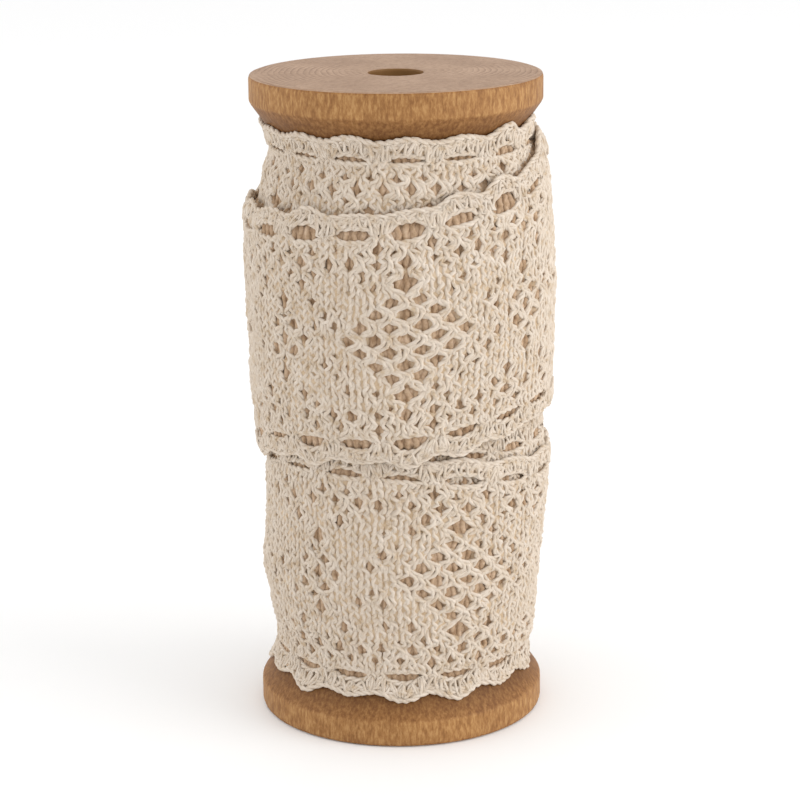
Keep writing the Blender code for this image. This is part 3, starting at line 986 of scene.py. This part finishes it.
class Look:
    """A new material and its nodes. An input takes a value, or an output that it is linked to."""

    def __init__(self, name, rough, specular):
        self.material = bpy.data.materials.new(name)
        self.material.use_nodes = True
        self.tree = self.material.node_tree
        self.shader = self.tree.nodes["Principled BSDF"]
        self.feed(self.shader, {"Roughness": rough, "Specular IOR Level": specular})
        where = self.add("ShaderNodeTexCoord", {}).outputs
        self.spot = where["Object"]
        self.normal = where["Normal"]

    def feed(self, node, inputs):
        """Give a node's inputs their values and links."""
        for key, value in inputs.items():
            if isinstance(value, bpy.types.NodeSocket):
                self.tree.links.new(value, node.inputs[key])
            else:
                node.inputs[key].default_value = value

    def add(self, kind, inputs, **settings):
        """A new node."""
        node = self.tree.nodes.new(kind)
        for key, value in settings.items():
            setattr(node, key, value)
        self.feed(node, inputs)
        return node

    def noise(self, vector, form):
        """Noise from 0 to 1."""
        scale, detail, rough = form
        inputs = {"Vector": vector, "Scale": scale, "Detail": detail, "Roughness": rough}
        return self.add("ShaderNodeTexNoise", inputs).outputs["Fac"]

    def stretched(self, scale, location=(0.0, 0.0, 0.0)):
        """The object's coordinates scaled and moved."""
        inputs = {"Vector": self.spot, "Scale": scale, "Location": location}
        return self.add("ShaderNodeMapping", inputs).outputs["Vector"]

    def ramp(self, value, stops):
        """The colour of a value on a ramp with stops of place and colour."""
        node = self.add("ShaderNodeValToRGB", {"Fac": value})
        elements = node.color_ramp.elements
        while len(elements) < len(stops):
            elements.new(0.5)
        for element, (position, color) in zip(elements, stops):
            element.position = position
            element.color = (*color, 1.0)
        return node.outputs["Color"]

    def mixed(self, blend, share, first, second):
        """Two colours blended."""
        node = self.add("ShaderNodeMix", {}, data_type="RGBA", blend_type=blend)
        number = {socket.identifier: index for index, socket in enumerate(node.inputs)}
        self.feed(node, {number["Factor_Float"]: share, number["A_Color"]: first, number["B_Color"]: second})
        return {socket.identifier: socket for socket in node.outputs}["Result_Color"]

    def calculate(self, operation, *values):
        """The result of a calculation or a comparison."""
        return self.add("ShaderNodeMath", dict(enumerate(values)), operation=operation).outputs["Value"]

    def upright(self, vector):
        """The Z of a vector."""
        return self.add("ShaderNodeSeparateXYZ", {"Vector": vector}).outputs["Z"]

    def relief(self, height, strength):
        """Fine relief by a bump of the shader's normal."""
        bump = self.add("ShaderNodeBump", {"Height": height, "Strength": strength, "Distance": GRAIN_RELIEF})
        self.feed(self.shader, {"Normal": bump.outputs["Normal"]})


def cotton_material(name, tones):
    """Undyed cotton: fine fibres, slight changes of tone with darker flecks, a soft sheen. With darker tones
    it paints shade on the felted insides and the course beneath.
    """
    look = Look(name, rough=0.9, specular=0.05)
    tone = look.ramp(look.noise(look.spot, TONE_NOISE), tuple(zip(TONE_STOPS, tones)))
    look.feed(look.shader, {"Base Color": tone, "Sheen Weight": SHEEN_WEIGHT, "Sheen Tint": SHEEN_TINT})
    look.relief(look.noise(look.spot, FIBRE_NOISE), strength=0.45)
    return look.material


def end_tone(look):
    """Colour of the spool's ends: growth rings that fade here and there, and pores."""
    centred = look.stretched((1.0, 1.0, RING_STRETCH), (-RING_CENTRE[0], -RING_CENTRE[1], 0.0))
    shape = {"Vector": centred, "Scale": WAVE_TURN / RING_STEP, **RING_FORM}
    rings = look.add("ShaderNodeTexWave", shape, wave_type="RINGS", rings_direction="Z", wave_profile="SAW")
    faded = look.ramp(look.noise(look.spot, FADE_NOISE), RING_FADE)
    grain = look.mixed("MIX", faded, look.ramp(rings.outputs["Fac"], RING_TONES), FADED_TONE)
    pores = look.ramp(look.noise(look.spot, PORE_NOISE), PORE_SHADES)
    return look.mixed("MULTIPLY", 1.0, grain, pores)


def side_tone(look, flecks):
    """Colour of the spool's sides: upright flecks, darker edges, darker bevels with painted shade towards
    the lace, and painted shade in the bore.
    """
    middle = SPOOL_HEIGHT / 2 * MM
    from_middle = look.calculate("ABSOLUTE", look.calculate("SUBTRACT", look.upright(look.spot), middle))
    depth = {"Value": from_middle, "From Min": middle, "From Max": (SPOOL_HEIGHT / 2 - SHADED_DEPTH) * MM}
    inward = look.add("ShaderNodeMapRange", depth).outputs["Result"]
    # darker wood on the bevels, with painted shade deepening towards the lace
    side = look.mixed("MULTIPLY", 1.0, look.ramp(flecks, SIDE_TONES), look.ramp(inward, BEVEL_TONE_AND_SHADE))
    flat = look.stretched((1.0, 1.0, 0.0))
    from_axis = look.add("ShaderNodeVectorMath", {0: flat}, operation="LENGTH").outputs["Value"]
    # painted shade in the bore
    in_shaded_bore = look.calculate("LESS_THAN", from_axis, BORE_SHADE_RADIUS * MM)
    return look.mixed("MIX", in_shaded_bore, side, BORE_PAINTED_SHADE)


def wood_material():
    """Bare birch: growth rings on the ends, upright flecks on the rims, darker bevels with painted shade
    towards the lace, and painted shade in the bore.
    """
    look = Look("birch", rough=0.6, specular=0.25)
    flecks = look.noise(look.stretched((1.0, 1.0, FLECK_STRETCH)), FLECK_NOISE)
    slope = look.calculate("ABSOLUTE", look.upright(look.normal))
    is_end = look.calculate("GREATER_THAN", slope, END_NORMAL)
    both = look.mixed("MIX", is_end, side_tone(look, flecks), end_tone(look))
    blotches = look.ramp(look.noise(look.spot, BLOTCH_NOISE), BLOTCH_SHADES)
    look.feed(look.shader, {"Base Color": look.mixed("MULTIPLY", 1.0, both, blotches)})
    look.relief(flecks, strength=0.3)
    return look.material


def floor_material():
    """A pale matt floor."""
    look = Look("pale_floor", rough=0.8, specular=0.5)
    look.feed(look.shader, {"Base Color": FLOOR_TONE})
    return look.material


def make_camera():
    """The camera at the photograph's place."""
    data = bpy.data.cameras.new("camera")
    data.sensor_fit = "HORIZONTAL"
    data.sensor_width = SENSOR_WIDTH
    data.lens = FOCAL_LENGTH
    data.shift_x = CAMERA_SHIFT
    data.clip_start = CLIP_START * MM
    camera = bpy.data.objects.new("camera", data)
    camera.location = (0.0, -CAMERA_DISTANCE * MM, CAMERA_HEIGHT * MM)
    pitch = Matrix.Rotation(math.radians(90 - CAMERA_PITCH), 4, "X")
    roll = Matrix.Rotation(math.radians(CAMERA_ROLL), 4, "Z")
    camera.rotation_euler = (pitch @ roll).to_euler()
    bpy.context.scene.collection.objects.link(camera)
    bpy.context.scene.camera = camera


def area_light(name, position, size, power):
    """A square soft light that looks at the spool."""
    data = bpy.data.lights.new(name, "AREA")
    data.size = size
    data.energy = power
    data.color = LIGHT_COLOR
    lamp = bpy.data.objects.new(name, data)
    lamp.location = position
    lamp.rotation_euler = (Vector(LIGHT_TARGET) - Vector(position)).to_track_quat("-Z", "Y").to_euler()
    lamp.visible_camera = False
    bpy.context.scene.collection.objects.link(lamp)


def make_studio():
    """A pale floor, soft lights and an even pale surround."""
    bpy.ops.mesh.primitive_plane_add(size=FLOOR_SIZE, location=(0.0, 0.0, FLOOR_LEVEL))
    floor = bpy.context.object
    floor.name = "floor"
    floor.data.materials.append(floor_material())
    world = bpy.data.worlds.new("surround")
    world.use_nodes = True
    world.node_tree.nodes["Background"].inputs["Color"].default_value = SURROUND_TONE
    world.node_tree.nodes["Background"].inputs["Strength"].default_value = 1.0
    bpy.context.scene.world = world
    for light in LIGHTS:
        area_light(*light)
    bpy.context.scene.view_settings.view_transform = "Standard"


def dress(pieces, material):
    """Give pieces of the ribbon their material and their body, and hide the solid that they replace."""
    for piece in pieces:
        piece.data.materials.append(material)
        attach(piece, "root")
        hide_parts("lace_roll")


make_camera()
ribbon_yarns, ribbon_grounds = wind_ribbon()
dress(ribbon_yarns, cotton_material("cotton_yarn", YARN_TONES))
# The felted insides get darker cotton tones: painted shade between the yarns
dress(ribbon_grounds, cotton_material("cotton_inside_painted_shade", GROUND_SHADE_TONES))
# The course beneath and the core get much darker cotton tones: painted shade in the holes
dress((inner_course(), core_shell()), cotton_material("cotton_beneath_painted_shade", INNER_SHADE_TONES))
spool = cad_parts["spool"]
spool.data.materials.clear()
spool.data.materials.append(wood_material())
make_studio()
